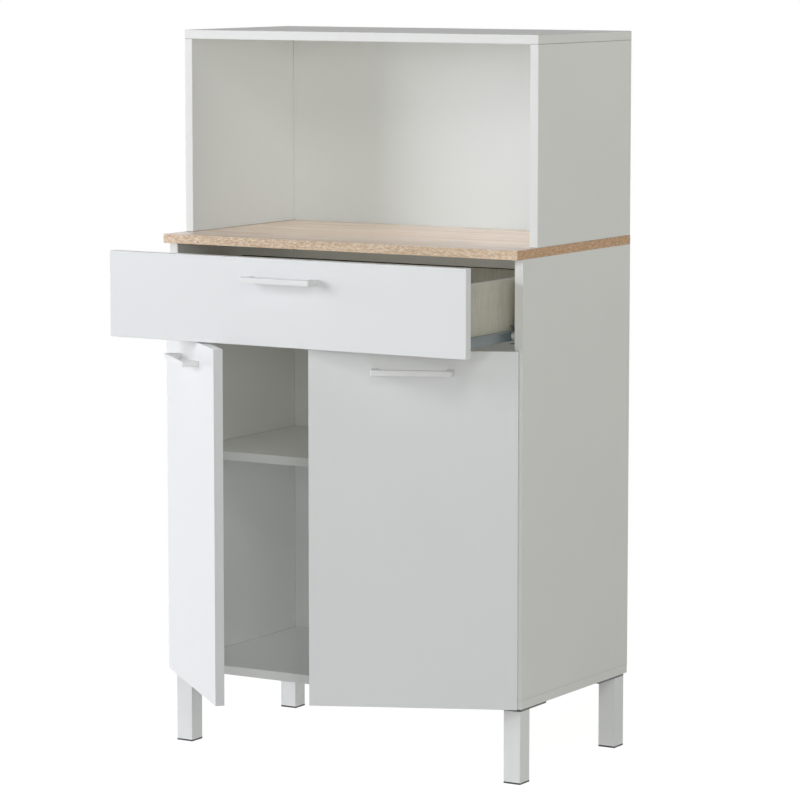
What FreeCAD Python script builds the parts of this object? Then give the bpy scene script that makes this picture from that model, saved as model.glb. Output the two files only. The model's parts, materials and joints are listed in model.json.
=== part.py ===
import FreeCAD, Part
import math
import os
import Sketcher

# Kitchen storage cabinet: an open hutch over a worktop, one wide drawer and two hinged doors, on square legs.
# X runs to the right, Y to the back and Z up. The origin is on the floor under the middle of the worktop.
# The pieces are written out as photographed, with the drawer pulled out and both doors ajar.

# Driving dimensions, in millimetres and degrees.
DIMENSIONS = {
    "overall_width": 720,
    "overall_height": 1277,
    "worktop_height": 918,
    "base_height": 132,
    "worktop_depth": 406,
    "carcass_depth": 386,
    "hutch_depth": 336,
    "board": 16,
    "back_board": 3,
    "rebate": 8,
    "fit": 0.3,
    "strip_half_width": 5,
    "strip_skin": 1,
    "shelf_height": 531,
    "shelf_setback": 23,
    "shelf_side_play": 0.5,
    "pin_radius": 2.5,
    "pin_grip": 9,
    "pin_inset": 45,
    "pin_end_play": 1,
    "hole_play": 0.05,
    "front_gap": 3,
    "top_reveal": 1.5,
    "front_reveal": 2.5,
    "side_reveal": 2,
    "middle_gap": 3,
    "drawer_front_height": 150,
    "drawer_opening": 168,
    "drawer_length": 350,
    "drawer_wall": 12,
    "drawer_side_height": 104,
    "drawer_rise": 13,
    "drawer_groove_rise": 10,
    "drawer_groove_depth": 6,
    "drawer_floor": 3,
    "drawer_housing": 6,
    "runner_space": 12.5,
    "runner_sheet": 1.2,
    "runner_bend": 0.6,
    "runner_setback": 2,
    "runner_drop": 5.5,
    "runner_channel": 32,
    "runner_channel_lip": 10.5,
    "runner_rail_height": 17.5,
    "runner_rail_lip": 8.3,
    "runner_foot": 11,
    "roller_radius": 8,
    "roller_width": 7,
    "roller_side_play": 0.8,
    "roller_inset": 14,
    "axle_radius": 2,
    "left_door_angle": 42.5,
    "right_door_angle": 25,
    "hinge_edge": 7.5,
    "hinge_depth": 9.5,
    "hinge_end_distance": 90,
    "hinge_pin_radius": 1,
    "hinge_pin_half": 10.4,
    "hinge_pin_play": 0.02,
    "cup_radius": 17.5,
    "cup_wall": 1,
    "cup_depth": 12.5,
    "cup_floor": 0.7,
    "cup_edge": 3,
    "cup_rim": 1.5,
    "cup_rim_height": 0.8,
    "eye_radius": 2,
    "eye_half_height": 4,
    "arm_sheet": 1.8,
    "arm_reach": 14,
    "arm_half_height": 6,
    "arm_thickness": 3.4,
    "arm_bend": 0.6,
    "arm_length": 24,
    "arm_corner": 4,
    "plate_setback": 37,
    "plate_wing": 9,
    "plate_half_height": 25,
    "plate_corner": 7,
    "plate_sheet": 2,
    "ridge_length": 20,
    "leg_size": 33,
    "leg_wall": 1.5,
    "leg_corner": 1.2,
    "leg_inset": 4.5,
    "leg_plate_size": 92,
    "leg_plate_thickness": 5,
    "glide_thickness": 3,
    "glide_plug": 12,
    "handle_length": 140,
    "handle_height": 10,
    "handle_projection": 30,
    "handle_bar": 8,
    "handle_post": 12,
    "handle_drop": 36,
    "handle_corner": 3,
    "handle_inner_corner": 1.5,
}

doc = FreeCAD.newDocument("kitchen_cabinet")
dims = doc.addObject("Spreadsheet::Sheet", "dims")
for row, (alias, value) in enumerate(DIMENSIONS.items(), start=1):
    dims.set(f"A{row}", str(value))
    dims.setAlias(f"A{row}", alias)
doc.recompute()

sub_parts = []


def place(item, x="0", y="0", z="0"):
    """Binds the position of a piece to three expressions."""
    for axis, expression in zip("xyz", (x, y, z)):
        item.setExpression(f".Placement.Base.{axis}", expression)


def keep(item):
    """Lists a piece as a sub-part of the cabinet."""
    sub_parts.append(item)
    return item


def box(name, x, y, z):
    """Block that spans a pair of expressions along each axis."""
    item = doc.addObject("Part::Box", name)
    for size, (low, high) in zip(("Length", "Width", "Height"), (x, y, z)):
        item.setExpression(size, f"({high}) - ({low})")
    place(item, x[0], y[0], z[0])
    return item


def rod(name, axis, radius, length, x="0", y="0", z="0"):
    """Cylinder that starts at a point and runs along +X, +Y or +Z."""
    item = doc.addObject("Part::Cylinder", name)
    item.setExpression("Radius", radius)
    item.setExpression("Height", length)
    turns = {
        "X": FreeCAD.Rotation(FreeCAD.Vector(0, 1, 0), 90),
        "Y": FreeCAD.Rotation(FreeCAD.Vector(1, 0, 0), -90),
        "Z": FreeCAD.Rotation(),
    }
    item.Placement = FreeCAD.Placement(FreeCAD.Vector(), turns[axis])
    place(item, x, y, z)
    return item


def group(name, items):
    """Separate solids held as one object."""
    item = doc.addObject("Part::Compound", name)
    item.Links = items
    return item


def fuse(name, items):
    item = doc.addObject("Part::MultiFuse", name)
    item.Shapes = items
    item.Refine = True
    return item


def cut(name, base, tools):
    """Base with every tool taken out of it; the tools do not touch each other."""
    item = doc.addObject("Part::Cut", name)
    item.Base = base
    item.Tool = group(f"{name}_cuts", tools) if len(tools) > 1 else tools[0]
    return item


def drilled(name, axis, radius, length, places):
    """Drill cylinders at a list of places."""
    drills = []
    for number, where in enumerate(places, start=1):
        drills.append(rod(f"{name}_{number}", axis, radius, length, *where))
    return drills


def span(side, inner, outer):
    """X span between two distances from the middle, on the right (1) or the left (-1)."""
    if side > 0:
        return inner, outer
    return f"-({outer})", f"-({inner})"


def at(side, distance):
    """X position at a distance from the middle, on the right (1) or the left (-1)."""
    return distance if side > 0 else f"-({distance})"


def outline(name, edges, rounds=None):
    """Closed sketch whose edges stand upright and lie level by turns, each at its own expression.

    rounds gives a radius for some corners; corner n is the one where edge n begins.
    """
    sketch = doc.addObject("Sketcher::SketchObject", name)
    rounds = rounds or {}
    count = len(edges)
    reach = [float(dims.evalExpression(edge)) for edge in edges]
    corners = []
    for number in range(count):
        upright, level = (number, number - 1) if number % 2 == 0 else (number - 1, number)
        corners.append(FreeCAD.Vector(reach[upright], reach[level], 0))
    heading = [(corners[(number + 1) % count] - corners[number]).normalize() for number in range(count)]
    radius = [float(dims.evalExpression(rounds.get(number, "0"))) for number in range(count)]
    for number in range(count):
        start = corners[number] + heading[number] * radius[number]
        after = (number + 1) % count
        end = corners[after] - heading[number] * radius[after]
        sketch.addGeometry(Part.LineSegment(start, end))
    for number in range(count):
        upright = number % 2 == 0
        sketch.addConstraint(Sketcher.Constraint("Vertical" if upright else "Horizontal", number))
        kind = "DistanceX" if upright else "DistanceY"
        fixed = sketch.addConstraint(Sketcher.Constraint(kind, -1, 1, number, 1, reach[number]))
        sketch.setExpression(f"Constraints[{fixed}]", edges[number])
        before = (number - 1) % count
        if number not in rounds:
            sketch.addConstraint(Sketcher.Constraint("Coincident", before, 2, number, 1))
            continue
        # The arc runs anticlockwise, so a clockwise corner meets it the other way round.
        centre = corners[number] + (heading[number] - heading[before]) * radius[number]
        arrive = corners[number] - heading[before] * radius[number] - centre
        leave = corners[number] + heading[number] * radius[number] - centre
        left_turn = heading[before].cross(heading[number]).z > 0
        first, last = (arrive, leave) if left_turn else (leave, arrive)
        start_angle = math.atan2(first.y, first.x)
        end_angle = start_angle + math.pi / 2
        circle = Part.Circle(centre, FreeCAD.Vector(0, 0, 1), radius[number])
        arc = sketch.addGeometry(Part.ArcOfCircle(circle, start_angle, end_angle))
        arrive_end, leave_end = (1, 2) if left_turn else (2, 1)
        sketch.addConstraint(Sketcher.Constraint("Tangent", before, 2, arc, arrive_end))
        sketch.addConstraint(Sketcher.Constraint("Tangent", number, 1, arc, leave_end))
        size = sketch.addConstraint(Sketcher.Constraint("Radius", arc, radius[number]))
        sketch.setExpression(f"Constraints[{size}]", rounds[number])
    return sketch


def extrude(name, axis, low, high, edges, rounds=None):
    """Outline carried along X, Y or Z from one expression to another."""
    sketch = outline(f"{name}_outline", edges, rounds)
    turns = {
        "X": FreeCAD.Rotation(FreeCAD.Vector(1, 1, 1), 120),
        "Y": FreeCAD.Rotation(FreeCAD.Vector(1, 0, 0), 90),
        "Z": FreeCAD.Rotation(),
    }
    sketch.Placement = FreeCAD.Placement(FreeCAD.Vector(), turns[axis])
    sketch.setExpression(f".Placement.Base.{axis.lower()}", low)
    item = doc.addObject("Part::Extrusion", name)
    item.Base = sketch
    item.DirMode = "Custom"
    item.Dir = FreeCAD.Vector(*(letter == axis for letter in "XYZ"))
    item.Solid = True
    item.setExpression("LengthFwd", f"({high}) - ({low})")
    return item


def revolve(name, edges, x, y, z):
    """Half section turned about the Y direction through a point."""
    item = doc.addObject("Part::Revolution", name)
    item.Source = outline(f"{name}_half", edges)
    item.Axis = FreeCAD.Vector(0, 1, 0)
    item.Angle = 360
    item.Solid = True
    place(item, x, y, z)
    return item


# Planes and levels worked out from the driving dimensions.
half_width = "(dims.overall_width / 2)"
inner_face = "(dims.overall_width / 2 - dims.board)"
rebate_edge = f"({inner_face} + dims.rebate)"
rear = "(dims.worktop_depth / 2)"
worktop_front = "(-dims.worktop_depth / 2)"
carcass_front = f"({rear} - dims.carcass_depth)"
hutch_front = f"({rear} - dims.hutch_depth)"
back_face = f"({rear} - dims.back_board)"
base_under = "dims.base_height"
base_top = "(dims.base_height + dims.board)"
worktop_under = "(dims.worktop_height - dims.board)"
worktop_top = "dims.worktop_height"
roof_under = "(dims.overall_height - dims.board)"
roof_top = "dims.overall_height"
shelf_under = "(dims.shelf_height - dims.board)"

drawer_front_top = f"({worktop_under} - dims.top_reveal)"
drawer_front_bottom = f"({drawer_front_top} - dims.drawer_front_height)"
drawer_start = f"({carcass_front} - dims.front_gap - dims.drawer_opening)"
drawer_end = f"({drawer_start} + dims.drawer_length)"
drawer_half = f"({inner_face} - dims.runner_space)"
drawer_inner = f"({drawer_half} - dims.drawer_wall)"
drawer_under = f"({drawer_front_bottom} + dims.drawer_rise)"
drawer_rim = f"({drawer_under} + dims.drawer_side_height)"
drawer_floor_under = f"({drawer_under} + dims.drawer_groove_rise)"
drawer_floor_top = f"({drawer_floor_under} + dims.drawer_floor)"

door_top = f"({drawer_front_bottom} - dims.front_reveal)"
door_bottom = "(dims.base_height + dims.front_reveal)"
door_width = f"({half_width} - dims.side_reveal - dims.middle_gap / 2)"
hinge_x = f"({half_width} - dims.side_reveal - dims.hinge_edge)"
hinge_y = f"({carcass_front} - dims.front_gap - dims.hinge_depth)"
hinge_levels = (f"({door_bottom} + dims.hinge_end_distance)", f"({door_top} - dims.hinge_end_distance)")

shelf_pin_rows = (f"{carcass_front} + dims.shelf_setback + dims.pin_inset", f"{back_face} - dims.pin_inset")

# Legs: a square tube under each corner, closed at the top, with a plate above and a glide pushed in below.
leg_corners = {
    "front_left": (-1, -1),
    "front_right": (1, -1),
    "rear_left": (-1, 1),
    "rear_right": (1, 1),
}
leg_outer = f"({half_width} - dims.leg_inset)"
plate_under = f"({base_under} - dims.leg_plate_thickness)"
glides = []
for corner, (side, end) in leg_corners.items():

    def square(near, far, side=side, end=end):
        """X and Y spans of a square, between two distances in from the outer faces of the leg."""
        if end < 0:
            start = f"({carcass_front} + dims.leg_inset)"
            y = (f"{start} + {near}", f"{start} + {far}")
        else:
            start = f"({rear} - dims.leg_inset)"
            y = (f"{start} - {far}", f"{start} - {near}")
        return span(side, f"{leg_outer} - {far}", f"{leg_outer} - {near}"), y

    leg_x, leg_y = square("0", "dims.leg_size")
    ring = (leg_x[0], leg_y[0], leg_x[1], leg_y[1])
    corner_rounds = dict.fromkeys(range(4), "dims.leg_corner")
    tube = extrude(f"leg_{corner}_tube", "Z", "dims.glide_thickness", plate_under, ring, corner_rounds)
    bore_x, bore_y = square("dims.leg_wall", "(dims.leg_size - dims.leg_wall)")
    bore = box(f"leg_{corner}_bore", bore_x, bore_y, ("0", f"{plate_under} - dims.leg_wall"))
    keep(cut(f"leg_{corner}", tube, [bore]))

    plate_x, plate_y = square("0", "dims.leg_plate_size")
    keep(box(f"leg_plate_{corner}", plate_x, plate_y, (plate_under, base_under)))

    cap = box(f"glide_{corner}_cap", leg_x, leg_y, ("0", "dims.glide_thickness"))
    plug_wall = "(dims.leg_wall + dims.hole_play)"
    plug_x, plug_y = square(plug_wall, f"(dims.leg_size - {plug_wall})")
    plug = box(f"glide_{corner}_plug", plug_x, plug_y, ("dims.glide_thickness", "dims.glide_plug"))
    glides.append(fuse(f"glide_{corner}", [cap, plug]))
keep(group("foot_glides", glides))

# Base panel, full width under the sides.
base_board = box("base_board", (f"-{half_width}", half_width), (carcass_front, rear), (base_under, base_top))
base_rebate = box("base_rebate", (f"-{rebate_edge}", rebate_edge), (back_face, rear),
                  (f"{base_top} - dims.rebate", base_top))
keep(cut("base_panel", base_board, [base_rebate]))

# Lower sides, worktop, hutch sides and top. Rebates along the rear edges take the backs.
pin_level = f"({shelf_under} - dims.pin_radius)"
pin_hole_depth = "(dims.pin_grip + dims.pin_end_play)"
shelf_pins = []
for side, word in ((-1, "left"), (1, "right")):
    board_x = span(side, inner_face, half_width)
    rebate_x = span(side, inner_face, rebate_edge)

    lower = box(f"{word}_side_board", board_x, (carcass_front, rear), (base_top, worktop_under))
    lower_rebate = box(f"{word}_side_rebate", rebate_x, (back_face, rear), (base_top, worktop_under))
    hole_start = inner_face if side > 0 else f"-({inner_face} + {pin_hole_depth})"
    pin_holes = drilled(f"{word}_pin_hole", "X", "dims.pin_radius + dims.hole_play", pin_hole_depth,
                        [(hole_start, row, pin_level) for row in shelf_pin_rows])
    keep(cut(f"{word}_side_panel", lower, [lower_rebate] + pin_holes))

    upper = box(f"hutch_{word}_board", board_x, (hutch_front, rear), (worktop_top, roof_under))
    upper_rebate = box(f"hutch_{word}_rebate", rebate_x, (back_face, rear), (worktop_top, roof_under))
    keep(cut(f"hutch_{word}_side", upper, [upper_rebate]))

    pin_start = f"{inner_face} - dims.pin_grip" if side > 0 else f"-({inner_face} + dims.pin_grip)"
    shelf_pins += drilled(f"{word}_shelf_pin", "X", "dims.pin_radius", "2 * dims.pin_grip",
                          [(pin_start, row, pin_level) for row in shelf_pin_rows])

keep(box("worktop", (f"-{half_width}", half_width), (worktop_front, rear), (worktop_under, worktop_top)))
roof_board = box("hutch_top_board", (f"-{half_width}", half_width), (hutch_front, rear),
                 (roof_under, roof_top))
roof_rebate = box("hutch_top_rebate", (f"-{rebate_edge}", rebate_edge), (back_face, rear),
                  (roof_under, f"{roof_under} + dims.rebate"))
keep(cut("hutch_top", roof_board, [roof_rebate]))

# Backs: one sheet behind the hutch, two half sheets and a joining strip behind the cupboard.
sheet_edge = f"({rebate_edge} - dims.fit)"
keep(box("hutch_back", (f"-{sheet_edge}", sheet_edge), (back_face, rear),
         (worktop_top, f"{roof_under} + dims.rebate - dims.fit")))
strip_web = "(dims.strip_skin / 2)"
for side, word in ((-1, "left"), (1, "right")):
    keep(box(f"back_panel_{word}", span(side, f"{strip_web} + dims.fit", sheet_edge), (back_face, rear),
             (f"{base_top} - dims.rebate + dims.fit", worktop_under)))
strip_cover = box("strip_cover", ("-dims.strip_half_width", "dims.strip_half_width"),
                  (f"{back_face} - dims.strip_skin", back_face), (base_top, worktop_under))
strip_tongue = box("strip_tongue", (f"-{strip_web}", strip_web), (back_face, rear), (base_top, worktop_under))
keep(fuse("back_joint_strip", [strip_cover, strip_tongue]))

# Shelf on four pins.
shelf_edge = f"({inner_face} - dims.shelf_side_play)"
keep(box("shelf", (f"-{shelf_edge}", shelf_edge),
         (f"{carcass_front} + dims.shelf_setback", f"{back_face} - dims.strip_skin - dims.fit"),
         (shelf_under, "dims.shelf_height")))
keep(group("shelf_pins", shelf_pins))

# Roller runners, bent from sheet: a channel on each side with a roller at its mouth, and a rail along the foot
# of each drawer side with a roller at its tail. The lip of the rail rides on the front roller, and the rear
# roller runs on the floor of the channel.
channel_start = f"({carcass_front} + dims.runner_setback)"
channel_end = f"({channel_start} + dims.drawer_length)"
channel_bottom = f"({drawer_under} - dims.runner_drop)"
channel_top = f"({channel_bottom} + dims.runner_channel)"
channel_floor = f"({channel_bottom} + dims.runner_sheet)"
channel_skin = f"({inner_face} - dims.runner_sheet)"
channel_lip = f"({inner_face} - dims.runner_channel_lip)"
rail_top = f"({drawer_under} + dims.runner_rail_height)"
rail_under = f"({rail_top} - dims.runner_sheet)"
rail_skin = f"({drawer_half} + dims.runner_sheet)"
outer_bend = "dims.runner_bend + dims.runner_sheet"
roller_inner = f"({rail_skin} + dims.roller_side_play)"
roller_outer = f"({roller_inner} + dims.roller_width)"
front_roller_y = f"({carcass_front} + dims.roller_inset)"
front_roller_z = f"({rail_under} - dims.fit - dims.roller_radius)"
rear_roller_y = f"({drawer_end} - dims.roller_inset)"
rear_roller_z = f"({channel_floor} + dims.fit + dims.roller_radius)"
for side, word in ((-1, "left"), (1, "right")):

    def across(name, radius, near, far, y, z, side=side, word=word):
        """Cylinder across the cabinet between two distances from its middle."""
        low, high = span(side, near, far)
        return rod(f"{word}_{name}", "X", radius, f"{far} - {near}", low, y, z)

    channel_edges = [at(side, inner_face), channel_top, at(side, channel_lip),
                     f"{channel_top} - dims.runner_sheet", at(side, channel_skin), channel_floor,
                     at(side, channel_lip), channel_bottom]
    channel_bends = {0: outer_bend, 1: outer_bend, 4: "dims.runner_bend", 5: "dims.runner_bend"}
    channel = extrude(f"{word}_channel", "Y", channel_start, channel_end, channel_edges, channel_bends)
    front_axle = across("front_axle", "dims.axle_radius", roller_inner, channel_skin,
                        front_roller_y, front_roller_z)
    keep(fuse(f"{word}_cabinet_runner", [channel, front_axle]))

    rail_edges = [at(side, rail_skin), rail_under, at(side, f"{rail_skin} + dims.runner_rail_lip"), rail_top,
                  at(side, drawer_half), drawer_under, at(side, f"{drawer_half} - dims.runner_foot"),
                  f"{drawer_under} - dims.runner_sheet"]
    rail_bends = {0: outer_bend, 1: "dims.runner_bend", 4: outer_bend}
    rail = extrude(f"{word}_rail", "Y", drawer_start, drawer_end, rail_edges, rail_bends)
    rear_axle = across("rear_axle", "dims.axle_radius", rail_skin, roller_outer,
                       rear_roller_y, rear_roller_z)
    keep(fuse(f"{word}_drawer_runner", [rail, rear_axle]))

    for end, y, z in (("front", front_roller_y, front_roller_z), ("rear", rear_roller_y, rear_roller_z)):
        wheel = across(f"{end}_wheel", "dims.roller_radius", roller_inner, roller_outer, y, z)
        bore_radius = "dims.axle_radius + dims.hole_play"
        bore = across(f"{end}_wheel_bore", bore_radius, roller_inner, roller_outer, y, z)
        keep(cut(f"{word}_{end}_roller", wheel, [bore]))


def bar_handle(name, x, y, z):
    """Bar bent into a U whose two posts stand on the plane Y = y; x is its middle and z its middle height."""
    left = f"({x} - dims.handle_length / 2)"
    right = f"({x} + dims.handle_length / 2)"
    face = f"({y} - dims.handle_projection)"
    edges = [left, y, f"{left} + dims.handle_post", f"{face} + dims.handle_bar",
             f"{right} - dims.handle_post", y, right, face]
    rounds = {0: "dims.handle_corner", 3: "dims.handle_inner_corner", 4: "dims.handle_inner_corner",
              7: "dims.handle_corner"}
    return extrude(name, "Z", f"{z} - dims.handle_height / 2", f"{z} + dims.handle_height / 2", edges, rounds)


# Drawer: a box of thin boards on the rails, its sides housed in the back of a full-width front.
front_half = f"({half_width} - dims.side_reveal)"
drawer_face = f"({drawer_start} - dims.board)"
housing_start = f"({drawer_start} - dims.drawer_housing)"
front_blank = box("drawer_front_blank", (f"-{front_half}", front_half), (drawer_face, drawer_start),
                  (drawer_front_bottom, drawer_front_top))
housings = []
for side, word in ((-1, "left"), (1, "right")):
    wall = box(f"drawer_{word}_board", span(side, drawer_inner, drawer_half), (housing_start, drawer_end),
               (drawer_under, drawer_rim))
    groove = box(f"drawer_{word}_groove",
                 span(side, drawer_inner, f"{drawer_inner} + dims.drawer_groove_depth"),
                 (drawer_start, drawer_end), (drawer_floor_under, f"{drawer_floor_top} + dims.hole_play"))
    keep(cut(f"drawer_{word}_side", wall, [groove]))
    housings.append(box(f"drawer_{word}_housing",
                        span(side, f"{drawer_inner} - dims.hole_play", f"{drawer_half} + dims.hole_play"),
                        (housing_start, drawer_start),
                        (f"{drawer_under} - dims.hole_play", f"{drawer_rim} + dims.hole_play")))
keep(cut("drawer_front", front_blank, housings))
keep(bar_handle("drawer_handle", "0", drawer_face, f"({drawer_front_top} - dims.handle_drop)"))
keep(box("drawer_back", (f"-{drawer_inner}", drawer_inner), (f"{drawer_end} - dims.drawer_wall", drawer_end),
         (drawer_floor_top, drawer_rim)))
floor_edge = f"({drawer_inner} + dims.drawer_groove_depth - dims.fit)"
keep(box("drawer_bottom", (f"-{floor_edge}", floor_edge), (drawer_start, drawer_end),
         (drawer_floor_under, drawer_floor_top)))


def hang(item, side, angle=None):
    """Puts a piece drawn about a hinge axis onto that axis, turned by the door's angle when it swings."""
    item.Placement = FreeCAD.Placement(FreeCAD.Vector(), FreeCAD.Rotation(FreeCAD.Vector(0, 0, 1), 0))
    place(item, at(side, hinge_x), hinge_y)
    if angle:
        item.setExpression(".Placement.Rotation.Angle", f"{side} * {angle}")
    return keep(item)


# Doors and their concealed hinges, drawn with the door shut and the hinge axis at X = 0, Y = 0.
# The pin in each cup turns in the eye of an arm that hooks into the cup from a plate on the side.
door_back = "dims.hinge_depth"
door_face = "(dims.hinge_depth - dims.board)"
free_edge = f"({door_width} - dims.hinge_edge)"
cup_middle = "(dims.cup_edge + dims.cup_radius - dims.hinge_edge)"
cup_start = f"({door_back} - dims.cup_depth)"
cup_half_section = ["0", "dims.cup_floor", "dims.cup_radius - dims.cup_wall",
                    "dims.cup_depth + dims.cup_rim_height", "dims.cup_radius + dims.cup_rim", "dims.cup_depth",
                    "dims.cup_radius", "0"]
side_face = f"({hinge_x} - {inner_face})"
carcass_edge = "(dims.front_gap + dims.hinge_depth)"
half_sheet = "(dims.arm_sheet / 2)"
arm_face = f"(dims.arm_reach + {half_sheet})"
arm_back = f"({arm_face} - dims.arm_thickness)"
plate_middle = f"({carcass_edge} + dims.plate_setback)"
arm_end = f"({plate_middle} + dims.arm_length)"
for side, word in ((-1, "left"), (1, "right")):
    angle = f"dims.{word}_door_angle"

    def inward(near, far, side=side):
        """X span between two distances from the hinge axis towards the middle of the cabinet."""
        return span(-side, near, far)

    cup_x = at(-side, cup_middle)
    slab = box(f"{word}_door_slab", inward("-dims.hinge_edge", free_edge), (door_face, door_back),
               (door_bottom, door_top))
    cup_holes = drilled(f"{word}_door_cup_hole", "Y", "dims.cup_radius + dims.hole_play", "dims.cup_depth",
                        [(cup_x, cup_start, level) for level in hinge_levels])
    hang(cut(f"{word}_door", slab, cup_holes), side, angle)
    handle_x = at(-side, f"({door_width} / 2 - dims.hinge_edge)")
    handle = bar_handle(f"{word}_door_bar", handle_x, door_face, f"({door_top} - dims.handle_drop)")
    hang(group(f"{word}_door_handle", [handle]), side, angle)

    cups = []
    pins = []
    arms = []
    plates = []
    for number, level in enumerate(hinge_levels, start=1):
        tag = f"{word}_hinge_{number}"
        pin_length = "2 * dims.hinge_pin_half"
        pin_low = f"{level} - dims.hinge_pin_half"
        shell = revolve(f"{tag}_shell", cup_half_section, cup_x, cup_start, level)
        socket_radius = "dims.hinge_pin_radius + dims.hinge_pin_play"
        socket = rod(f"{tag}_socket", "Z", socket_radius, pin_length, z=pin_low)
        cups.append(cut(f"{tag}_cup", shell, [socket]))
        pins.append(rod(f"{tag}_pin", "Z", "dims.hinge_pin_radius", pin_length, z=pin_low))

        slim = (f"{level} - dims.eye_half_height", f"{level} + dims.eye_half_height")
        broad = (f"{level} - dims.arm_half_height", f"{level} + dims.arm_half_height")
        eye = rod(f"{tag}_eye", "Z", "dims.eye_radius", "2 * dims.eye_half_height", z=slim[0])
        crank_edges = ["0", f"-{half_sheet}", at(-side, arm_face), carcass_edge,
                       at(-side, f"({arm_face} - dims.arm_sheet)"), half_sheet]
        crank_bends = {2: "dims.arm_bend + dims.arm_sheet", 5: "dims.arm_bend"}
        crank = extrude(f"{tag}_crank", "Z", *slim, crank_edges, crank_bends)
        blade_edges = [carcass_edge, broad[0], arm_end, broad[1]]
        blade_rounds = {2: "dims.arm_corner", 3: "dims.arm_corner"}
        blade = extrude(f"{tag}_blade", "X", *inward(arm_back, arm_face), blade_edges, blade_rounds)
        eye_bore = rod(f"{tag}_eye_bore", "Z", "dims.hinge_pin_radius + dims.hole_play",
                       "2 * dims.eye_half_height", z=slim[0])
        arms.append(cut(f"{tag}_arm", fuse(f"{tag}_arm_blank", [eye, crank, blade]), [eye_bore]))

        wing_edges = [f"{plate_middle} - dims.plate_wing", f"{level} - dims.plate_half_height",
                      f"{plate_middle} + dims.plate_wing", f"{level} + dims.plate_half_height"]
        wing_x = inward(side_face, f"({side_face} + dims.plate_sheet)")
        wing_rounds = dict.fromkeys(range(4), "dims.plate_corner")
        wing = extrude(f"{tag}_wing", "X", *wing_x, wing_edges, wing_rounds)
        ridge = box(f"{tag}_ridge", inward(side_face, arm_back),
                    (f"{plate_middle} - dims.ridge_length", f"{plate_middle} + dims.ridge_length"), broad)
        plates.append(fuse(f"{tag}_plate", [wing, ridge]))
    hang(group(f"{word}_hinge_cups", cups), side, angle)
    hang(group(f"{word}_hinge_pins", pins), side, angle)
    hang(group(f"{word}_hinge_arms", arms), side)
    hang(group(f"{word}_hinge_plates", plates), side)

doc.recompute()
for item in doc.Objects:
    if "Invalid" in item.State or "Error" in item.State:
        raise RuntimeError(f"{item.Label} could not be built: {item.State}")
os.makedirs("parts", exist_ok=True)
for item in sub_parts:
    if item.Shape.isNull() or not item.Shape.isValid():
        raise RuntimeError(f"{item.Label} has no valid shape")
    item.Shape.exportStep(f"parts/{item.Label}.step")
print(f"{len(sub_parts)} sub-parts written")
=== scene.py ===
import bpy
import json
import math
import numpy as np
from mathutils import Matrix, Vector


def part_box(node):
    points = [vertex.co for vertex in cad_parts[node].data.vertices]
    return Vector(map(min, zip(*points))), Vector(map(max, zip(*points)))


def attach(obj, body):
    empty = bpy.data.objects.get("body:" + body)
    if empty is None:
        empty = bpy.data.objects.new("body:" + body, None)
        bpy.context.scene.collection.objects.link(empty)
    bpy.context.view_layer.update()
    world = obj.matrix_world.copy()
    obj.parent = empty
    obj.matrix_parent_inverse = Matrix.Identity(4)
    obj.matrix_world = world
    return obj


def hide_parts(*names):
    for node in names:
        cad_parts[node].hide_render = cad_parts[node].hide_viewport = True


# White kitchen cabinet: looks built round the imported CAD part, in metres, X right, Y back, Z up.
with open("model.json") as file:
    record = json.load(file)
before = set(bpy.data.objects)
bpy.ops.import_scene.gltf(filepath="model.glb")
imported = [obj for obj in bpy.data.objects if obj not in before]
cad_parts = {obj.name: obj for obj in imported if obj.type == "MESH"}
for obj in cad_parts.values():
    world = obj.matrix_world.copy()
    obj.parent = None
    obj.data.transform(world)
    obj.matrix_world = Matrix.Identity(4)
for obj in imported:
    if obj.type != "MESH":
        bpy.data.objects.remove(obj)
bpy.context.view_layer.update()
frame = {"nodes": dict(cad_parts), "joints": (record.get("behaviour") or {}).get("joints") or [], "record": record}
nodes = frame["nodes"]
joints = {joint["name"]: joint for joint in frame["joints"]}
slotOf = {part["node"]: part["material_slot"] for part in frame["record"]["subparts"]}
print("frame loaded:", len(nodes), "pieces")


def boxOf(name):
    # the low and the high corner of a CAD node, as arrays
    return tuple(np.array(corner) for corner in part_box(name))


# shader helpers
def addNode(tree, kind, inputs=None, **settings):
    node = tree.nodes.new(kind)
    for key, value in settings.items():
        setattr(node, key, value)
    for key, value in (inputs or {}).items():
        node.inputs[key].default_value = value
    return node


def mixInto(tree, factor, colour, second, blend="MIX"):
    # lays a plain colour over another by a mask; sockets 6 and 7 hold the colours, output 2 the result
    mix = addNode(tree, "ShaderNodeMix", data_type="RGBA", blend_type=blend)
    tree.links.new(factor, mix.inputs[0])
    mix.inputs[7].default_value = (*second, 1)
    if isinstance(colour, tuple):
        mix.inputs[6].default_value = (*colour, 1)
    else:
        tree.links.new(colour, mix.inputs[6])
    return mix.outputs[2]


def mixShaders(tree, factor, first, second):
    mix = addNode(tree, "ShaderNodeMixShader")
    for socket, source in zip(mix.inputs, (factor, first, second)):
        tree.links.new(source, socket)
    return mix.outputs[0]


def remap(tree, value, low, high, fromLow=0.0, fromHigh=1.0):
    # carries the range from fromLow to fromHigh over to the range from low to high
    node = addNode(tree, "ShaderNodeMapRange", {1: fromLow, 2: fromHigh, 3: low, 4: high})
    tree.links.new(value, node.inputs[0])
    return node.outputs[0]


def reckon(tree, operation, *values):
    # one sum on masks and plain numbers
    node = addNode(tree, "ShaderNodeMath", operation=operation)
    for socket, value in zip(node.inputs, values):
        if isinstance(value, (int, float)):
            socket.default_value = value
        else:
            tree.links.new(value, socket)
    return node.outputs[0]


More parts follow.
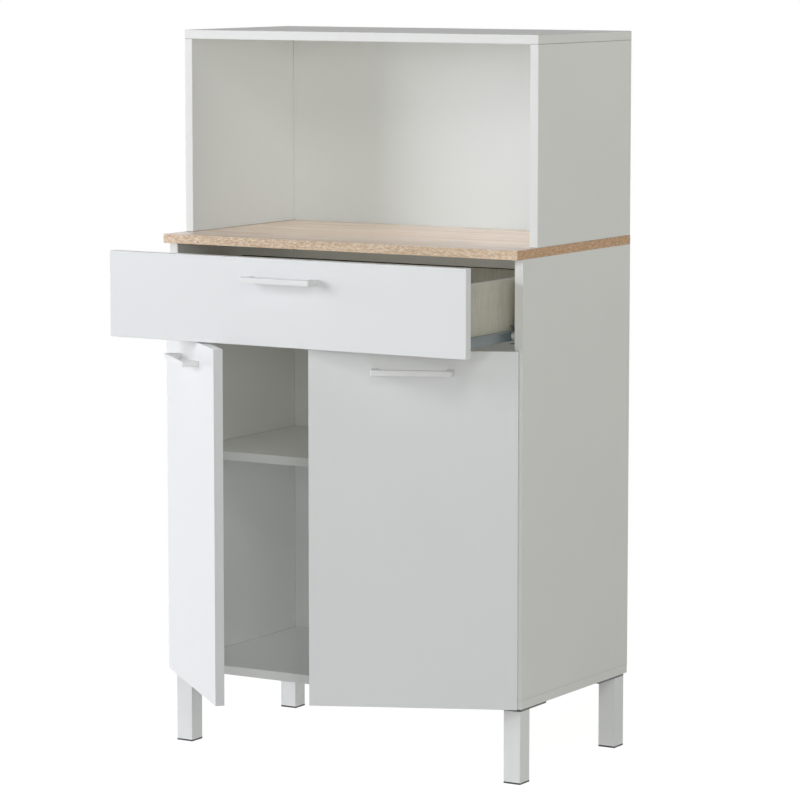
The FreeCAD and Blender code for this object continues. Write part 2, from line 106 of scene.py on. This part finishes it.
def noise(tree, place, look):
    # cloudy noise on coordinates that are scaled along each axis; between spreads its middle levels out
    scaled = addNode(tree, "ShaderNodeMapping", {"Scale": look["scale"]})
    tree.links.new(place, scaled.inputs["Vector"])
    cloud = addNode(tree, "ShaderNodeTexNoise",
                    {"Scale": 1.0, "Detail": look["detail"], "Roughness": look["rough"]})
    tree.links.new(scaled.outputs[0], cloud.inputs["Vector"])
    if "between" not in look:
        return cloud.outputs[0]
    return remap(tree, cloud.outputs[0], 0.0, 1.0, *look["between"])


def newGroup(name, outputs):
    # a shared effect: takes a place on the surface, gives masks
    group = bpy.data.node_groups.new(name, "ShaderNodeTree")
    group.interface.new_socket("Vector", in_out="INPUT", socket_type="NodeSocketVector")
    for output in outputs:
        group.interface.new_socket(output, in_out="OUTPUT", socket_type="NodeSocketFloat")
    start = group.nodes.new("NodeGroupInput")
    end = group.nodes.new("NodeGroupOutput")
    return group, start.outputs[0], end.inputs


def noiseGroup(name, look):
    # a shared effect with one noise for each of its masks
    group, place, outputs = newGroup(name, look)
    for mask, noiseLook in look.items():
        group.links.new(noise(group, place, noiseLook), outputs[mask])
    return group


# pressed melamine and paint: Pebble is the tiny relief, Cloud the slow change of tone
pebbleGroup = noiseGroup("finePebble", dict(
    Pebble=dict(scale=(1400.0, 1400.0, 1400.0), detail=2.0, rough=0.6),
    Cloud=dict(scale=(5.0, 5.0, 5.0), detail=3.0, rough=0.55),
))

# flecked oak edge: Patch mixes pale and warm stretches, Fleck is the short dark dashes
fleckGroup = noiseGroup("oakFlecks", dict(
    Patch=dict(scale=(120.0, 120.0, 420.0), detail=3.0, rough=0.6, between=(0.36, 0.64)),
    Fleck=dict(scale=(190.0, 190.0, 620.0), detail=3.0, rough=0.6, between=(0.44, 0.7)),
))

# linen print: upright and level threads, each thread a thin streak of its own tone
linenGroup = noiseGroup("linenThreads", dict(
    Warp=dict(scale=(900.0, 900.0, 22.0), detail=2.0, rough=0.6),
    Weft=dict(scale=(22.0, 22.0, 900.0), detail=2.0, rough=0.6),
    Slub=dict(scale=(260.0, 260.0, 9.0), detail=2.0, rough=0.5),
))

# rolled sheet steel: fine streaks along Y and slow blotches
steelGroup = noiseGroup("rolledSteel", dict(
    Streak=dict(scale=(1800.0, 40.0, 1800.0), detail=2.0, rough=0.5),
    Blotch=dict(scale=(60.0, 60.0, 60.0), detail=3.0, rough=0.5),
))

# oak print: long streaks along X and short dark pores, both bent by a slow figure
grainLook = dict(
    figure=dict(scale=(1.6, 9.0, 9.0), detail=2.0, rough=0.5),
    bend=(0.0, 0.05, 0.05),
    streak=dict(scale=(3.0, 150.0, 150.0), detail=5.0, rough=0.62),
    pore=dict(scale=(28.0, 900.0, 900.0), detail=2.0, rough=0.5, between=(0.56, 0.72)),
)
oakGroup, place, outputs = newGroup("oakGrain", ("Streak", "Pore", "Figure"))
figure = noise(oakGroup, place, grainLook["figure"])
bend = addNode(oakGroup, "ShaderNodeVectorMath", operation="MULTIPLY_ADD")
bend.inputs[1].default_value = grainLook["bend"]
oakGroup.links.new(figure, bend.inputs[0])
oakGroup.links.new(place, bend.inputs[2])
oakGroup.links.new(noise(oakGroup, bend.outputs[0], grainLook["streak"]), outputs["Streak"])
oakGroup.links.new(noise(oakGroup, bend.outputs[0], grainLook["pore"]), outputs["Pore"])
oakGroup.links.new(figure, outputs["Figure"])


def startMaterial(name, group, look):
    # a principled surface whose masks come from one shared effect on Object coordinates
    material = bpy.data.materials.new(name)
    material.use_nodes = True
    tree = material.node_tree
    shader = tree.nodes["Principled BSDF"]
    shader.inputs["Metallic"].default_value = look.get("metallic", 0.0)
    shader.inputs["Specular IOR Level"].default_value = look.get("specular", 0.5)
    where = addNode(tree, "ShaderNodeTexCoord")
    masks = addNode(tree, "ShaderNodeGroup", node_tree=group)
    tree.links.new(where.outputs["Object"], masks.inputs["Vector"])
    return material, tree, masks.outputs


def dress(tree, look, colour, gloss, height):
    # hands the colour, the uneven gloss and the fine relief to the surface
    shader = tree.nodes["Principled BSDF"]
    tree.links.new(colour, shader.inputs["Base Color"])
    tree.links.new(remap(tree, gloss, *look["rough"]), shader.inputs["Roughness"])
    bump = addNode(tree, "ShaderNodeBump", {"Strength": look["bump"], "Distance": look["relief"]})
    tree.links.new(height, bump.inputs["Height"])
    tree.links.new(bump.outputs[0], shader.inputs["Normal"])


def coatedMaterial(name, look):
    # melamine, paint or plastic: two near tones, uneven gloss and a fine relief
    material, tree, masks = startMaterial(name, pebbleGroup, look)
    colour = mixInto(tree, masks["Cloud"], look["tone"], look["lowTone"])
    if "seamShade" in look:
        # painted shade: the fine seam where two boards meet is darkened to stand in for the shade that gathers
        # there; the more surface lies within reach, the darker
        near = addNode(tree, "ShaderNodeAmbientOcclusion", {"Distance": look["seamShadeReach"]}, samples=8)
        seamShadeMask = remap(tree, near.outputs["AO"], 1.0, 0.0, *look["seamShadeBetween"])
        colour = mixInto(tree, seamShadeMask, colour, look["seamShade"])
    dress(tree, look, colour, masks["Cloud"], masks["Pebble"])
    return material


def steelMaterial(name, look):
    # plated or bare pressed steel: slow blotches, and streaks in the gloss and the relief
    material, tree, masks = startMaterial(name, steelGroup, look)
    colour = mixInto(tree, masks["Blotch"], look["tone"], look["lowTone"])
    dress(tree, look, colour, masks["Streak"], masks["Streak"])
    return material


def oakMaterial(name, look):
    # printed wood: warm stretches, long streaks over them, and short dark pores on top
    material, tree, masks = startMaterial(name, oakGroup, look)
    warmth = remap(tree, masks["Figure"], 0.0, 1.0, *look["warmBetween"])
    colour = mixInto(tree, warmth, look["pale"], look["warm"])
    streak = remap(tree, masks["Streak"], 0.0, look["streakShare"], *look["streakBetween"])
    colour = mixInto(tree, streak, colour, look["streak"])
    pore = reckon(tree, "MULTIPLY", masks["Pore"], look["poreShare"])
    colour = mixInto(tree, pore, colour, look["pore"])
    # light that bounces on from the print is nearly grey, so the white boards above stay white
    path = addNode(tree, "ShaderNodeLightPath")
    bounced = reckon(tree, "MULTIPLY", path.outputs["Is Diffuse Ray"], look["bounceShare"])
    colour = mixInto(tree, bounced, colour, look["bounce"])
    dress(tree, look, colour, masks["Streak"], masks["Pore"])
    return material


def bandMaterial(name, look):
    # printed edge: short flecks that run level along the edge
    material, tree, masks = startMaterial(name, fleckGroup, look)
    colour = mixInto(tree, masks["Patch"], look["pale"], look["warm"])
    fleck = reckon(tree, "MULTIPLY", masks["Fleck"], look["fleckShare"])
    colour = mixInto(tree, fleck, colour, look["fleck"])
    # painted shade: the band's two short ends are browner, standing in for the shade they lie in; it holds where X
    # is within endDepth of either end
    axes = addNode(tree, "ShaderNodeSeparateXYZ")
    tree.links.new(addNode(tree, "ShaderNodeTexCoord").outputs["Object"], axes.inputs[0])
    fromMiddle = reckon(tree, "ABSOLUTE", axes.outputs["X"])
    atEnd = reckon(tree, "GREATER_THAN", fromMiddle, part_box("worktop")[1][0] - look["endDepth"])
    colour = mixInto(tree, atEnd, colour, look["endShade"], "MULTIPLY")
    dress(tree, look, colour, masks["Patch"], masks["Fleck"])
    return material


def linenMaterial(name, look):
    # printed cloth: upright threads, level threads over them, and a few darker upright slubs
    material, tree, masks = startMaterial(name, linenGroup, look)
    warp = remap(tree, masks["Warp"], 0.0, 1.0, *look["warpBetween"])
    colour = mixInto(tree, warp, look["thread"], look["gap"])
    weft = remap(tree, masks["Weft"], 0.0, look["weftShare"], *look["weftBetween"])
    colour = mixInto(tree, weft, colour, look["weft"])
    slub = remap(tree, masks["Slub"], 0.0, look["slubShare"], *look["slubBetween"])
    colour = mixInto(tree, slub, colour, look["slub"])
    dress(tree, look, colour, masks["Warp"], masks["Warp"])
    return material


# finishes by name: colours, the range of roughness, and the depth and strength of the fine relief
coatedLooks = {
    "white_board": dict(tone=(0.90, 0.908, 0.893), lowTone=(0.88, 0.888, 0.873), rough=(0.50, 0.57),
                        relief=0.0001, bump=0.10,
                        # the seam entries below give the painted shade in the seams between boards: its dark tone,
                        # its reach and its range
                        seamShade=(0.30, 0.30, 0.29), seamShadeReach=0.0009, seamShadeBetween=(0.5, 0.9)),
    "white_front": dict(tone=(0.872, 0.89, 0.90), lowTone=(0.857, 0.875, 0.885), rough=(0.26, 0.31),
                        relief=0.0001, bump=0.06),
    "white_back": dict(tone=(0.868, 0.885, 0.872), lowTone=(0.853, 0.87, 0.857), rough=(0.36, 0.44),
                       relief=0.0001, bump=0.08),
    "white_strip": dict(tone=(0.86, 0.865, 0.84), lowTone=(0.83, 0.835, 0.81), rough=(0.38, 0.46),
                        relief=0.0001, bump=0.08),
    "roller_nylon": dict(tone=(0.80, 0.80, 0.77), lowTone=(0.76, 0.76, 0.72), rough=(0.35, 0.45),
                         relief=0.0001, bump=0.1),
    "leg_white": dict(tone=(0.935, 0.95, 0.95), lowTone=(0.92, 0.935, 0.935), rough=(0.30, 0.38),
                      relief=0.0002, bump=0.15),
    "leg_plate": dict(tone=(0.17, 0.175, 0.18), lowTone=(0.13, 0.135, 0.14), rough=(0.4, 0.55),
                      relief=0.0002, bump=0.25),
    "glide": dict(tone=(0.05, 0.052, 0.055), lowTone=(0.035, 0.036, 0.04), rough=(0.4, 0.55),
                  relief=0.0002, bump=0.2),
    "handle_white": dict(tone=(0.89, 0.895, 0.90), lowTone=(0.875, 0.88, 0.885), rough=(0.26, 0.32),
                         relief=0.0001, bump=0.06),
    # the near-black finish on the next line is painted shadow, set on the drawer back's upper edge that lies in
    # shade under the worktop
    "shadow_edge": dict(tone=(0.035, 0.033, 0.028), lowTone=(0.025, 0.024, 0.02), rough=(0.6, 0.7),
                      relief=0.0001, bump=0.08, specular=0.1),
    "runner_steel": dict(tone=(0.19, 0.232, 0.25), lowTone=(0.15, 0.187, 0.205), rough=(0.32, 0.46),
                         relief=0.0002, bump=0.2),
}
steelLooks = {
    "hinge_steel": dict(tone=(0.62, 0.62, 0.63), lowTone=(0.54, 0.54, 0.55), rough=(0.22, 0.36),
                        relief=0.0001, bump=0.1, metallic=1.0),
    "fastener_steel": dict(tone=(0.55, 0.55, 0.56), lowTone=(0.46, 0.46, 0.47), rough=(0.28, 0.42),
                           relief=0.0001, bump=0.1, metallic=1.0),
}
oakLook = dict(
    pale=(1.0, 0.80, 0.655), warm=(1.0, 0.745, 0.59), warmBetween=(0.3, 0.7),
    streak=(0.64, 0.42, 0.295), streakShare=0.8, streakBetween=(0.42, 0.66),
    pore=(0.44, 0.31, 0.21), poreShare=0.3, bounce=(0.60, 0.60, 0.60), bounceShare=0.8,
    rough=(0.18, 0.26), specular=0.55, relief=0.00015, bump=0.25,
)
bandLook = dict(
    pale=(1.0, 0.83, 0.67), warm=(0.80, 0.59, 0.40), fleck=(0.40, 0.25, 0.14), fleckShare=0.62,
    # the band's short ends get a painted shade, multiplied into the print
    endShade=(0.86, 0.70, 0.57), endDepth=0.0005,
    rough=(0.5, 0.62), specular=0.25, relief=0.0001, bump=0.2,
)
linenLook = dict(
    thread=(0.66, 0.64, 0.55), gap=(0.49, 0.475, 0.395), warpBetween=(0.3, 0.7),
    weft=(0.745, 0.725, 0.635), weftShare=0.3, weftBetween=(0.45, 0.75),
    slub=(0.40, 0.385, 0.32), slubShare=0.4, slubBetween=(0.5, 0.8),
    rough=(0.5, 0.62), specular=0.3, relief=0.0001, bump=0.2,
)
materials = {slot: coatedMaterial(slot, look) for slot, look in coatedLooks.items()}
materials |= {slot: steelMaterial(slot, look) for slot, look in steelLooks.items()}
materials["oak_worktop"] = oakMaterial("oak_worktop", oakLook)
materials["oak_band"] = bandMaterial("oak_band", bandLook)
materials["linen_board"] = linenMaterial("linen_board", linenLook)
for name, node in nodes.items():
    node.data.materials.clear()
    node.data.materials.append(materials[slotOf[name]])
print("materials made:", len(materials))

# eased edges: the CAD boards keep their shape and get a small bevel on every sharp edge
easeLook = dict(weld=1e-5, flatTo=0.5, sharpFrom=40, segments=2)
easeWidths = {
    "white_board": 0.0010, "white_front": 0.0010, "white_back": 0.0003, "linen_board": 0.0005,
    "leg_white": 0.0004, "leg_plate": 0.0009, "glide": 0.0006, "handle_white": 0.0011,
}
for name, node in nodes.items():
    if slotOf[name] not in easeWidths:
        continue
    join = node.modifiers.new("join", "WELD")
    join.merge_threshold = easeLook["weld"]
    flat = node.modifiers.new("flatFaces", "DECIMATE")
    flat.decimate_type = "DISSOLVE"
    flat.angle_limit = math.radians(easeLook["flatTo"])
    ease = node.modifiers.new("ease", "BEVEL")
    ease.width = easeWidths[slotOf[name]]
    ease.segments = easeLook["segments"]
    ease.limit_method = "ANGLE"
    ease.angle_limit = math.radians(easeLook["sharpFrom"])
print("edges eased")


# meshes from whole arrays
def gridFaces(rows, columns, closed=False):
    # four-sided faces between neighbouring rows; columns always run round, rows only where closed
    row, column = np.meshgrid(np.arange(rows if closed else rows - 1), np.arange(columns), indexing="ij")
    nextRow, nextColumn = (row + 1) % rows, (column + 1) % columns
    corners = (row * columns + column, row * columns + nextColumn,
               nextRow * columns + nextColumn, nextRow * columns + column)
    return np.stack(corners, -1).reshape(-1, 4).tolist()


def endFaces(rows, columns):
    # one face over the first row and one over the last
    first = np.arange(columns)
    return [first[::-1].tolist(), (first + (rows - 1) * columns).tolist()]


def repeated(points, faces, places):
    # the same shape once for each place, a place being an origin and three axes as rows
    moved = np.concatenate([origin + points @ axes for origin, axes in places])
    step = len(points)
    return moved, [[index + count * step for index in face] for count in range(len(places)) for face in faces]


def addPiece(name, points, faces, slot, body, replaced=(), finish=None):
    mesh = bpy.data.meshes.new(name)
    mesh.from_pydata(points.tolist(), [], faces)
    mesh.materials.append(materials[finish or slot])
    piece = bpy.data.objects.new(name, mesh)
    bpy.context.scene.collection.objects.link(piece)
    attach(piece, body)
    if replaced:
        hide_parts(*replaced)


quarter = np.linspace(0, math.pi / 2, 4)  # a quarter turn in three steps, for every rounded edge


def easedSlab(low, high, ease, cornerShare=1.5):
    # a rectangle with quarter-arc corners, carried upwards while both ends draw in along a quarter arc
    low, high = np.array(low), np.array(high)
    middle, half = (low + high) / 2, (high - low) / 2
    angles = (quarter + np.arange(4)[:, None] * math.pi / 2).ravel()
    signs = np.repeat(np.array([(1, 1), (-1, 1), (-1, -1), (1, -1)]), len(quarter), 0)
    corner = cornerShare * ease
    inset = ease * (1 - np.sin(np.concatenate((quarter, quarter[::-1]))))
    lift = ease * (1 - np.cos(quarter))
    rise = np.concatenate((-half[2] + lift, half[2] - lift[::-1]))
    spoke = np.stack((np.cos(angles), np.sin(angles)), -1)
    flat = signs * (half[:2] - corner) + spoke * (corner - inset[:, None, None])
    upright = np.broadcast_to(rise[:, None, None], flat.shape[:2] + (1,))
    points = np.concatenate((flat, upright), -1).reshape(-1, 3) + middle
    return points, gridFaces(len(rise), len(angles)) + endFaces(len(rise), len(angles))


# worktop: a pale oak board with a glued edge band round the left, front and right
worktopLook = dict(band=0.0008, bandEase=0.0006, boardEase=0.0002)
low, high = boxOf("worktop")
band, ease = worktopLook["band"], worktopLook["bandEase"]
points, faces = easedSlab(low + (band, band, 0), high - (band, 0, 0), worktopLook["boardEase"])
addPiece("worktop_board", points, faces, "oak_worktop", "carcass", ("worktop",))
# the band's section is a thin strip with rounded outer edges, carried along the worktop's outline
drawnIn, lift = ease * (1 - np.sin(quarter)), ease * (1 - np.cos(quarter))
outTo = np.concatenate(([0], band - drawnIn, band - drawnIn[::-1], [0]))
upTo = np.concatenate(([low[2]], low[2] + lift, high[2] - lift[::-1], [high[2]]))
path = np.array([(low[0], high[1]), (low[0], low[1]), (high[0], low[1]), (high[0], high[1])])
inwards = np.array([(1, 0), (1, 1), (-1, 1), (-1, 0)])
flat = path[:, None] + inwards[:, None] * (band - outTo)[None, :, None]
upright = np.broadcast_to(upTo[None, :, None], flat.shape[:2] + (1,))
points = np.concatenate((flat, upright), -1).reshape(-1, 3)
faces = gridFaces(len(path), len(outTo)) + endFaces(len(path), len(outTo))
addPiece("worktop_band", points, faces, "oak_worktop", "carcass", ("worktop",), finish="oak_band")

# edging on the upper edges of the drawer's walls: light on the sides; on the back a near-black finish, a painted
# shadow along its upper edge
edgingLook = dict(thickness=0.0005, ease=0.0002, finishes={"drawer_back": "shadow_edge"})
for name in ("drawer_left_side", "drawer_right_side", "drawer_back"):
    low, high = boxOf(name)
    top = high[2] + edgingLook["thickness"]
    points, faces = easedSlab((*low[:2], high[2]), (*high[:2], top), edgingLook["ease"])
    finish = edgingLook["finishes"].get(name)
    addPiece(name + "_edging", points, faces, "white_strip", "drawer", finish=finish)

# rollers: a section turned about the axle, with a raised tyre and a sunk hub on both faces
rollerLook = dict(bore=0.00205, hub=0.0042, tyre=0.0048, sink=0.0011, rounding=0.0007, steps=48)
around = np.linspace(0, 2 * math.pi, rollerLook["steps"], endpoint=False)
drawnIn = rollerLook["rounding"] * (1 - np.sin(quarter))
lift = rollerLook["rounding"] * (1 - np.cos(quarter))
for end in ("front", "rear"):
    for side in ("left", "right"):
        low, high = boxOf(f"{side}_{end}_roller")
        middle, half = (low + high) / 2, (high - low) / 2
        sunk = half[0] - rollerLook["sink"]
        out = np.concatenate(([rollerLook[key] for key in ("bore", "hub", "tyre")], half[2] - drawnIn))
        across = np.concatenate(([sunk, sunk, half[0]], half[0] - lift))
        out, across = np.concatenate((out, out[::-1])), np.concatenate((across, -across[::-1]))
        ring = np.stack((np.broadcast_to(across, (len(around), len(across))),
                         np.cos(around)[:, None] * out, np.sin(around)[:, None] * out), -1)
        points, faces = ring.reshape(-1, 3) + middle, gridFaces(len(around), len(out), True)
        body, replaced = f"roller_{end}_{side}", f"{side}_{end}_roller"
        addPiece(replaced + "_tyre", points, faces, "roller_nylon", body, (replaced,))

# screws: two in each hinge plate, three in each leg plate and each cabinet runner, two behind each handle
screwLooks = dict(
    hinge=dict(radius=0.0035, height=0.0013, sheet=0.002, plateHalf=0.025, rise=0.018),
    leg=dict(radius=0.0042, height=0.0018, inset=0.012),
    runner=dict(radius=0.0034, height=0.0009, sheet=0.0012, along=(0.12, 0.5, 0.88)),
    handle=dict(radius=0.0040, height=0.0022, apart=0.064, depth=0.016),
)
# a head's rings: share of the radius and of the height; the cross is cut in the rings within crossReach
headLook = dict(
    ringShares=(1.0, 1.0, 0.93, 0.62, 0.56, 0.34, 0.08),
    ringLevels=(0.0, 0.55, 0.82, 1.0, 1.0, 1.0, 1.0),
    steps=32, crossHalf=0.14, crossReach=0.6, crossDepth=0.7,
)


def screwHead(look):
    # rings that climb the rim and the dome of a head, sunk where a cross lies near either middle line
    share = np.array(headLook["ringShares"])[:, None]
    level = np.array(headLook["ringLevels"])[:, None]
    around = np.linspace(0, 2 * math.pi, headLook["steps"], endpoint=False)
    x, y = share * np.cos(around), share * np.sin(around)
    sunk = (np.minimum(np.abs(x), np.abs(y)) < headLook["crossHalf"]) & (share < headLook["crossReach"])
    z = level - headLook["crossDepth"] * sunk
    points = np.stack((look["radius"] * x, look["radius"] * y, look["height"] * z), -1).reshape(-1, 3)
    return points, gridFaces(len(share), len(around)) + endFaces(len(share), len(around))


def facing(direction):
    # three axes as rows, the last one looking along the direction
    ahead = np.array(direction, float)
    upright = abs(ahead[2]) > 0.9
    aside = np.cross((1, 0, 0) if upright else (0, 0, 1), ahead)
    aside /= np.linalg.norm(aside)
    return np.stack((aside, np.cross(ahead, aside), ahead))


def addScrews(name, look, places, body):
    points, faces = repeated(*screwHead(look), places)
    addPiece(name + "_screws", points, faces, "fastener_steel", body)


look = screwLooks["hinge"]
for word, side in (("left", 1), ("right", -1)):
    low, high = boxOf(word + "_hinge_plates")
    face = (low[0] if side > 0 else high[0]) + side * look["sheet"]
    plateLevels = (low[2] + look["plateHalf"], high[2] - look["plateHalf"])
    levels = [level + step for level in plateLevels for step in (-look["rise"], look["rise"])]
    places = [(np.array((face, (low[1] + high[1]) / 2, level)), facing((side, 0, 0))) for level in levels]
    addScrews(word + "_hinge", look, places, "carcass")

look = screwLooks["leg"]
places = []
for end in ("front", "rear"):
    for side in ("left", "right"):
        low, high = boxOf(f"leg_plate_{end}_{side}")
        legLow, legHigh = boxOf(f"leg_{end}_{side}")
        for x in (low[0] + look["inset"], high[0] - look["inset"]):
            for y in (low[1] + look["inset"], high[1] - look["inset"]):
                if not (legLow[0] < x < legHigh[0] and legLow[1] < y < legHigh[1]):
                    places.append((np.array((x, y, low[2])), facing((0, 0, -1))))
addScrews("leg_plate", look, places, "carcass")

look = screwLooks["runner"]
places = []
for word, side in (("left", 1), ("right", -1)):
    low, high = boxOf(word + "_cabinet_runner")
    face = (low[0] if side > 0 else high[0]) + side * look["sheet"]
    for share in look["along"]:
        where = np.array((face, low[1] + share * (high[1] - low[1]), (low[2] + high[2]) / 2))
        places.append((where, facing((side, 0, 0))))
addScrews("cabinet_runner", look, places, "carcass")

# the doors stand open at rest, so their handles' screws turn with the angle that each door has swung
look = screwLooks["handle"]
handleLow, handleHigh = boxOf("drawer_handle")
depth = (handleHigh[1] - handleLow[1]) / 2 + look["depth"]
handleBodies = (("drawer", "drawer", 0), ("left_door", "door_left", -1), ("right_door", "door_right", 1))
for word, body, turn in handleBodies:
    low, high = boxOf(word + "_handle")
    swing = turn * math.radians(abs(joints[body + "_hinge"]["range_deg"][0])) if turn else 0.0
    along = np.array((math.cos(swing), math.sin(swing), 0))
    inwards = np.array((-math.sin(swing), math.cos(swing), 0))
    behind = (low + high) / 2 + inwards * depth
    places = [(behind + along * apart, facing(inwards)) for apart in (-look["apart"], look["apart"])]
    addScrews(word + "_handle", look, places, body)
print("new pieces made")


def seenDirectly(tree):
    # 1 for rays of the camera, of reflections and through glass
    path = addNode(tree, "ShaderNodeLightPath")
    either = reckon(tree, "MAXIMUM", path.outputs["Is Camera Ray"], path.outputs["Is Glossy Ray"])
    return reckon(tree, "MAXIMUM", either, path.outputs["Is Transmission Ray"])


# stage: a pale floor that lights the object as plain paint does, and shows as white with a faint shadow
floorLook = dict(size=30.0, tone=(0.8, 0.8, 0.8), shownTone=(0.3, 0.3, 0.3), shownGlow=0.905,
                 shadowReach=(0.5, 1.3))
floorMesh = bpy.data.meshes.new("floor")
half = floorLook["size"] / 2
corners = [(-half, -half, 0), (half, -half, 0), (half, half, 0), (-half, half, 0)]
floorMesh.from_pydata(corners, [], [(0, 1, 2, 3)])
floor = bpy.data.objects.new("floor", floorMesh)
bpy.context.scene.collection.objects.link(floor)
floorMaterial = bpy.data.materials.new("floor")
floorMaterial.use_nodes = True
tree = floorMaterial.node_tree
tree.nodes.clear()
plain = addNode(tree, "ShaderNodeBsdfDiffuse", {"Color": (*floorLook["tone"], 1)})
shadowed = addNode(tree, "ShaderNodeBsdfDiffuse", {"Color": (*floorLook["shownTone"], 1)})
glow = addNode(tree, "ShaderNodeEmission", {"Strength": floorLook["shownGlow"]})
shown = addNode(tree, "ShaderNodeAddShader")
tree.links.new(shadowed.outputs[0], shown.inputs[0])
tree.links.new(glow.outputs[0], shown.inputs[1])
distance = addNode(tree, "ShaderNodeVectorMath", operation="LENGTH")
tree.links.new(addNode(tree, "ShaderNodeTexCoord").outputs["Object"], distance.inputs[0])
away = remap(tree, distance.outputs["Value"], 0.0, 1.0, *floorLook["shadowReach"])
white = addNode(tree, "ShaderNodeEmission", {"Strength": 1.0})
faded = mixShaders(tree, away, shown.outputs[0], white.outputs[0])
surface = addNode(tree, "ShaderNodeOutputMaterial")
tree.links.new(mixShaders(tree, seenDirectly(tree), plain.outputs[0], faded), surface.inputs[0])
floorMesh.materials.append(floorMaterial)

# a faint even sky, white where the camera or a reflection meets it
skyLook = dict(tone=(1.0, 1.0, 0.97), strength=0.14)
world = bpy.data.worlds.new("studio")
bpy.context.scene.world = world
world.use_nodes = True
tree = world.node_tree
sky = tree.nodes["Background"]
sky.inputs["Color"].default_value = (*skyLook["tone"], 1)
sky.inputs["Strength"].default_value = skyLook["strength"]
white = addNode(tree, "ShaderNodeBackground", {"Color": (1, 1, 1, 1), "Strength": 1.0})
shown = mixShaders(tree, seenDirectly(tree), sky.outputs[0], white.outputs[0])
tree.links.new(shown, tree.nodes["World Output"].inputs[0])

# softboxes: a broad cool key from the left, a fill beside the camera, weaker ones above and behind;
# the back lamp stays below the roof, so that it lights the back sheets alone
studioLook = dict(target=(0, -0.05, 0.65), distance=6.0)
lampLooks = {
    "keyLamp": dict(azimuth=-46, elevation=14, wide=3.2, tall=2.5, watts=166, tone=(0.935, 0.95, 1.0)),
    "leftLamp": dict(azimuth=-75, elevation=8, wide=1.3, tall=1.3, watts=61, tone=(1.0, 0.955, 0.94)),
    "fillLamp": dict(azimuth=35, elevation=8, wide=3.9, tall=1.3, watts=65, tone=(1.0, 0.97, 0.93)),
    "overheadLamp": dict(azimuth=35, elevation=30, wide=1.3, tall=1.3, watts=34, tone=(0.945, 1.0, 0.955)),
    "rearLamp": dict(azimuth=140, elevation=10, wide=2.6, tall=1.3, watts=53, tone=(0.99, 1.0, 0.875)),
    "backLamp": dict(azimuth=188, elevation=0, wide=2.6, tall=1.0, watts=40, tone=(1.0, 1.0, 1.0)),
}
# faint lamps inside: under the roof, under the drawer, behind it and under the shelf
innerLooks = {
    "hutchLamp": dict(place=(0, 0.03, 1.255), aim=(0, 0, -1), wide=0.66, tall=0.30,
                      watts=0.120, tone=(1.0, 1.0, 0.92), spread=40),
    "upperLamp": dict(place=(0, -0.02, 0.757), aim=(0, 0, -1), wide=0.60, tall=0.30,
                      watts=0.097, tone=(1.0, 0.99, 0.99)),
    "drawerLamp": dict(place=(0, 0.17, 0.84), aim=(0, 1, 0), wide=0.66, tall=0.12,
                       watts=0.0180, tone=(1.0, 0.90, 0.71)),
    "lowerLamp": dict(place=(0, 0.0, 0.505), aim=(0, 0, -1), wide=0.60, tall=0.30,
                      watts=0.059, tone=(0.935, 0.9, 1.0)),
}


def towards(azimuth, elevation):
    # direction from the cabinet: azimuth 0 is the front and 90 the right, elevation is above the floor
    turn, rise = math.radians(azimuth), math.radians(elevation)
    return Vector((math.sin(turn) * math.cos(rise), -math.cos(turn) * math.cos(rise), math.sin(rise)))


for name, look in (lampLooks | innerLooks).items():
    lamp = bpy.data.lights.new(name, "AREA")
    lamp.shape = "RECTANGLE"
    lamp.size = look["wide"]
    lamp.size_y = look["tall"]
    lamp.spread = math.radians(look.get("spread", 180))
    lamp.energy = look["watts"]
    lamp.color = look["tone"]
    holder = bpy.data.objects.new(name, lamp)
    if "place" in look:
        aim, holder.location = Vector(look["aim"]), look["place"]
    else:
        aim = -towards(look["azimuth"], look["elevation"])
        holder.location = Vector(studioLook["target"]) - aim * studioLook["distance"]
    holder.rotation_euler = aim.to_track_quat("-Z", "Y").to_euler()
    holder.visible_camera = False
    bpy.context.scene.collection.objects.link(holder)

# camera at the photograph's place: tilt above the horizon and turn from the front, in degrees
cameraLook = dict(place=(3.423, -5.6428, 1.4341), tilt=-7.01, turn=31.187,
                  lens=168.12, sensor=36.0, farthest=60.0)
camera = bpy.data.cameras.new("photoCamera")
camera.lens = cameraLook["lens"]
camera.sensor_width = cameraLook["sensor"]
camera.clip_end = cameraLook["farthest"]
cameraHolder = bpy.data.objects.new("photoCamera", camera)
cameraHolder.location = cameraLook["place"]
cameraHolder.rotation_euler = (math.radians(90 + cameraLook["tilt"]), 0, math.radians(cameraLook["turn"]))
bpy.context.scene.collection.objects.link(cameraHolder)
bpy.context.scene.camera = cameraHolder
bpy.context.scene.view_settings.view_transform = "Standard"
bpy.context.scene.cycles.max_bounces = 16
bpy.context.scene.cycles.diffuse_bounces = 12  # white boards send light on many times
print("stage, lamps and camera placed")
